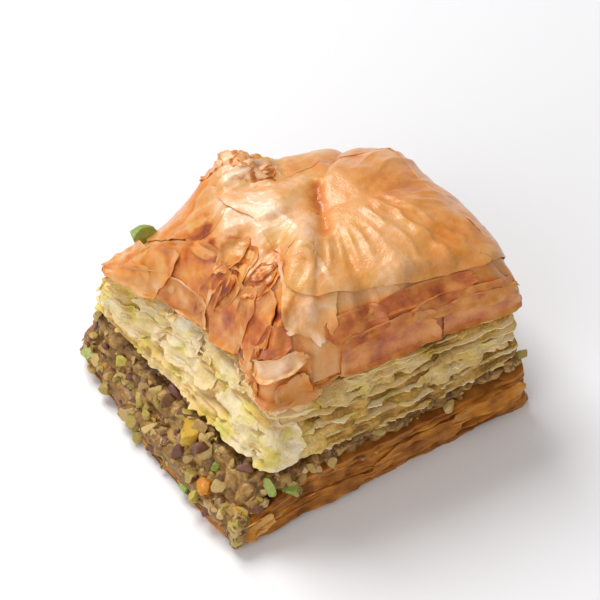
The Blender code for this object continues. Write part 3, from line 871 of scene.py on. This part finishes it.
class Finish:
    """A Principled material and short ways to add the nodes that the materials here share."""

    def __init__(self, name, **values):
        self.material = bpy.data.materials.new(name)
        self.material.use_nodes = True
        self.tree = self.material.node_tree
        self.shader = self.tree.nodes["Principled BSDF"]
        self.feed(self.shader, **values)
        self.place = self.node("TexCoord").outputs["Object"]

    def join(self, value, socket):
        """Links an output to a socket, or gives the socket a plain value."""
        if isinstance(value, bpy.types.NodeSocket):
            self.tree.links.new(value, socket)
        else:
            socket.default_value = value

    def feed(self, node, **values):
        """Joins values to a node's sockets by their names."""
        for name, value in values.items():
            self.join(value, node.inputs[name.replace("_", " ")])

    def node(self, kind, **values):
        node = self.tree.nodes.new("ShaderNode" + kind)
        self.feed(node, **values)
        return node

    def noise(self, size, detail, stretch=1.0):
        """Noise whose main lumps are size mm high, and wider than that by the stretch."""
        level = 1 / stretch
        place = self.node("Mapping", Vector=self.place, Scale=(level, level, 1)).outputs["Vector"]
        return self.node("TexNoise", Vector=place, Scale=1 / (size * MM), Detail=detail).outputs["Fac"]

    def tone(self):
        node = self.node("Attribute")
        node.attribute_name = "tone"
        return node.outputs["Fac"]

    def sum(self, *terms):
        """Adds (output, factor) terms and plain numbers."""
        total = 0.0
        for term in terms:
            output, factor = term if isinstance(term, tuple) else (1.0, term)
            node = self.node("Math")
            node.operation = "MULTIPLY_ADD"
            for value, socket in zip((output, factor, total), node.inputs):
                self.join(value, socket)
            total = node.outputs[0]
        return total

    def paint(self, color):
        self.color = color
        self.feed(self.shader, Base_Color=color)

    def colors(self, factor, *stops):
        """A colour ramp, whose stops are a position and an sRGB colour."""
        node = self.node("ValToRGB", Fac=factor)
        ramp_stops = node.color_ramp.elements
        while len(ramp_stops) < len(stops):
            ramp_stops.new(1.0)
        for stop, (position, *color) in zip(ramp_stops, stops):
            stop.position = position
            stop.color = (*linear(*color), 1)
        self.paint(node.outputs["Color"])

    def tint(self, mask, low, high, color):
        """Multiplies the colour by another one where the mask is above high, and less down to low."""
        share = self.node("MapRange", Value=mask, From_Min=low, From_Max=high)
        node = self.node("Mix")
        node.data_type = "RGBA"
        node.blend_type = "MULTIPLY"
        self.feed(node, Factor=share.outputs["Result"], A=self.color, B=(*color, 1))
        self.paint(node.outputs["Result"])

    def roughness(self, factor, low, high):
        share = self.node("MapRange", Value=factor, To_Min=low, To_Max=high)
        self.feed(self.shader, Roughness=share.outputs["Result"])

    def bump(self, height, depth):
        """Fine relief of depth mm."""
        normal = self.node("Bump", Distance=depth * MM, Height=height).outputs["Normal"]
        self.feed(self.shader, Normal=normal, Coat_Normal=normal)


def food(name, soft, reach, scale, coat, specular):
    """The finish of a food: how much light enters it, how far each colour goes in, and its gloss."""
    return Finish(name, Subsurface_Weight=soft, Subsurface_Radius=reach, Subsurface_Scale=scale * MM,
                  Coat_Weight=coat[0], Coat_Roughness=coat[1], Specular_IOR_Level=specular)


def crust_material():
    finish = food("crust", 0.12, (1.0, 0.45, 0.2), 0.8, coat=(0.6, 0.28), specular=0.35)
    fine = finish.noise(0.7, 4)
    patches = finish.noise(3.2, 4)
    tone = finish.sum((finish.tone(), 1.0), (fine, 0.16), (patches, 0.3), -0.23)
    # the two palest stops are pinkish white: the palest sheets, and the colour of the painted highlight
    finish.colors(
        tone, (0.0, 250, 216, 186), (0.15, 240, 192, 152), (0.3, 226, 164, 100), (0.5, 220, 138, 58),
        (0.7, 192, 100, 38), (0.86, 164, 76, 26), (1.0, 126, 52, 16),
    )
    finish.tint(finish.noise(4.5, 3), 0.5, 0.66, (0.98, 1.0, 0.74))
    finish.roughness(patches, 0.28, 0.5)
    finish.bump(finish.sum((fine, 0.6), (finish.noise(0.25, 2), 0.4)), 0.12)
    return finish.material


def pale_material():
    finish = food("pale_sheets", 0.25, (1.0, 0.6, 0.25), 1.2, coat=(0.12, 0.25), specular=0.3)
    streaks = finish.noise(0.5, 4, stretch=5)
    patches = finish.noise(4, 4, stretch=1.3)
    specks = finish.noise(0.45, 3)
    tone = finish.sum((finish.tone(), 0.5), (streaks, 0.25), (patches, 0.7), (specks, 0.35), -0.33)
    finish.colors(
        tone, (0.0, 112, 76, 28), (0.18, 166, 122, 46), (0.32, 204, 160, 78), (0.5, 234, 196, 122),
        (0.75, 246, 218, 166), (1.0, 254, 238, 208),
    )
    finish.tint(finish.noise(2.6, 3, stretch=1.4), 0.53, 0.67, (0.87, 0.91, 0.42))
    finish.roughness(streaks, 0.4, 0.7)
    finish.bump(finish.sum((streaks, 0.5), (specks, 0.8), (finish.noise(0.2, 2), 0.4)), 0.2)
    return finish.material


def bottom_material():
    finish = food("bottom_sheets", 0.15, (1.0, 0.4, 0.15), 1.0, coat=(0.15, 0.2), specular=0.12)
    streaks = finish.noise(0.6, 4, stretch=3)
    patches = finish.noise(3, 4, stretch=1.5)
    tone = finish.sum((finish.tone(), 0.6), (streaks, 0.25), (patches, 0.9), -0.42)
    finish.colors(
        tone, (0.0, 64, 30, 8), (0.3, 134, 78, 28), (0.5, 180, 114, 46), (0.62, 204, 132, 50),
        (0.8, 218, 164, 92), (1.0, 234, 190, 124),
    )
    finish.roughness(patches, 0.25, 0.5)
    finish.bump(finish.sum((streaks, 0.6), (finish.noise(0.3, 2), 0.4)), 0.12)
    return finish.material


def nut_material():
    finish = food("pistachio", 0.2, (0.8, 0.8, 0.3), 0.8, coat=(0.25, 0.2), specular=0.35)
    grain = finish.noise(0.5, 3)
    finish.colors(
        finish.sum((finish.tone(), 1.0), (grain, 0.2), -0.1),
        (0.0, 110, 62, 50), (0.15, 128, 90, 52), (0.25, 178, 138, 80), (0.4, 204, 174, 112),
        (0.55, 166, 142, 68), (0.68, 192, 172, 80), (0.8, 130, 158, 72), (0.9, 216, 176, 66),
        (1.0, 202, 128, 30),
    )
    finish.roughness(grain, 0.35, 0.6)
    finish.bump(finish.noise(0.3, 2), 0.12)
    return finish.material


def core_material():
    finish = food("nut_paste", 0.15, (0.8, 0.5, 0.2), 0.8, coat=(0.3, 0.2), specular=0.3)
    grain = finish.noise(0.6, 4)
    finish.colors(
        finish.sum((finish.tone(), 0.6), (grain, 0.7), -0.2),
        (0.0, 60, 34, 10), (0.4, 138, 98, 44), (0.7, 184, 144, 78), (1.0, 212, 176, 108),
    )
    finish.roughness(grain, 0.25, 0.5)
    finish.bump(grain, 0.2)
    return finish.material


# --- stage, light and camera ---

VIEW_AZIMUTH, VIEW_ELEVATION = -33, 50  # degrees
LENS, SENSOR = 180, 36  # mm
FILL = 0.8  # the share of the picture's width that the piece takes up
FLOOR_SIZE, FLOOR_COLOR = 6, (0.86, 0.86, 0.88, 1)  # m, linear
# The way to each light, its distance and width in m, its power in W and its colour
LIGHTS = {
    "key": ((-0.07, 0.53, 0.83), 0.5, 0.24, 2.0, (1, 1, 1)),
    "left fill": ((-0.85, -0.3, 0.6), 0.6, 0.5, 1.4, (1, 1, 1)),
    "front fill": ((-0.1, -0.8, 0.6), 0.6, 0.5, 0.42, (1, 0.86, 0.68)),
}
WORLD_STRENGTH = 0.3


def floor():
    """A pale table top that runs out of sight."""
    bpy.ops.mesh.primitive_plane_add(size=FLOOR_SIZE)
    plane = bpy.context.object
    plane.name = "floor"
    plane.data.materials.append(Finish("floor", Roughness=0.35, Base_Color=FLOOR_COLOR).material)


def aimed(data, way, distance, target=Vector((0, 0, 0))):
    """Adds a light or camera that looks at a target from the direction way."""
    made = bpy.data.objects.new(data.name, data)
    made.location = target + way * distance
    made.rotation_euler = way.to_track_quat("Z", "Y").to_euler()
    bpy.context.scene.collection.objects.link(made)
    return made


def area_light(name, way, distance, size, power, color):
    """A square soft light that shines on the piece from the direction way."""
    data = bpy.data.lights.new(name, "AREA")
    data.size = size
    data.energy = power
    data.color = color
    aimed(data, Vector(way).normalized(), distance)


def lights():
    for name, values in LIGHTS.items():
        area_light(name, *values)
    world = bpy.data.worlds.new("studio")
    world.use_nodes = True
    background = world.node_tree.nodes["Background"].inputs
    background["Color"].default_value = (1, 1, 1, 1)
    background["Strength"].default_value = WORLD_STRENGTH
    bpy.context.scene.world = world
    bpy.context.scene.view_settings.view_transform = "Standard"


def camera():
    low, high = CAD_BOX
    azimuth, elevation = math.radians(VIEW_AZIMUTH), math.radians(VIEW_ELEVATION)
    level = math.cos(elevation)
    back = Vector((math.sin(azimuth) * level, -math.cos(azimuth) * level, math.sin(elevation)))
    across = math.hypot(high.x - low.x, high.y - low.y)
    distance = across / FILL * LENS / SENSOR
    data = bpy.data.cameras.new("camera")
    data.lens = LENS
    data.sensor_width = SENSOR
    data.clip_start = 0.01
    bpy.context.scene.camera = aimed(data, back, distance, (low + high) / 2)


def main():
    under, outline = crust_rim(Solid("top_pastry"))
    nuts = nut_material()
    bottom = bottom_pastry(bottom_material())
    core, grains = pistachio_filling(core_material(), nuts)
    pale = pale_layers(pale_material(), under)
    dome = Dome(under, outline)
    brown = crust_material()
    crust = crust_body(dome, brown)
    large = large_sheets(dome, brown)
    flakes = crust_flakes(dome, brown)
    loose_bits(nuts, (bottom, core, grains, pale, crust, large, flakes))
    floor()
    lights()
    camera()


main()
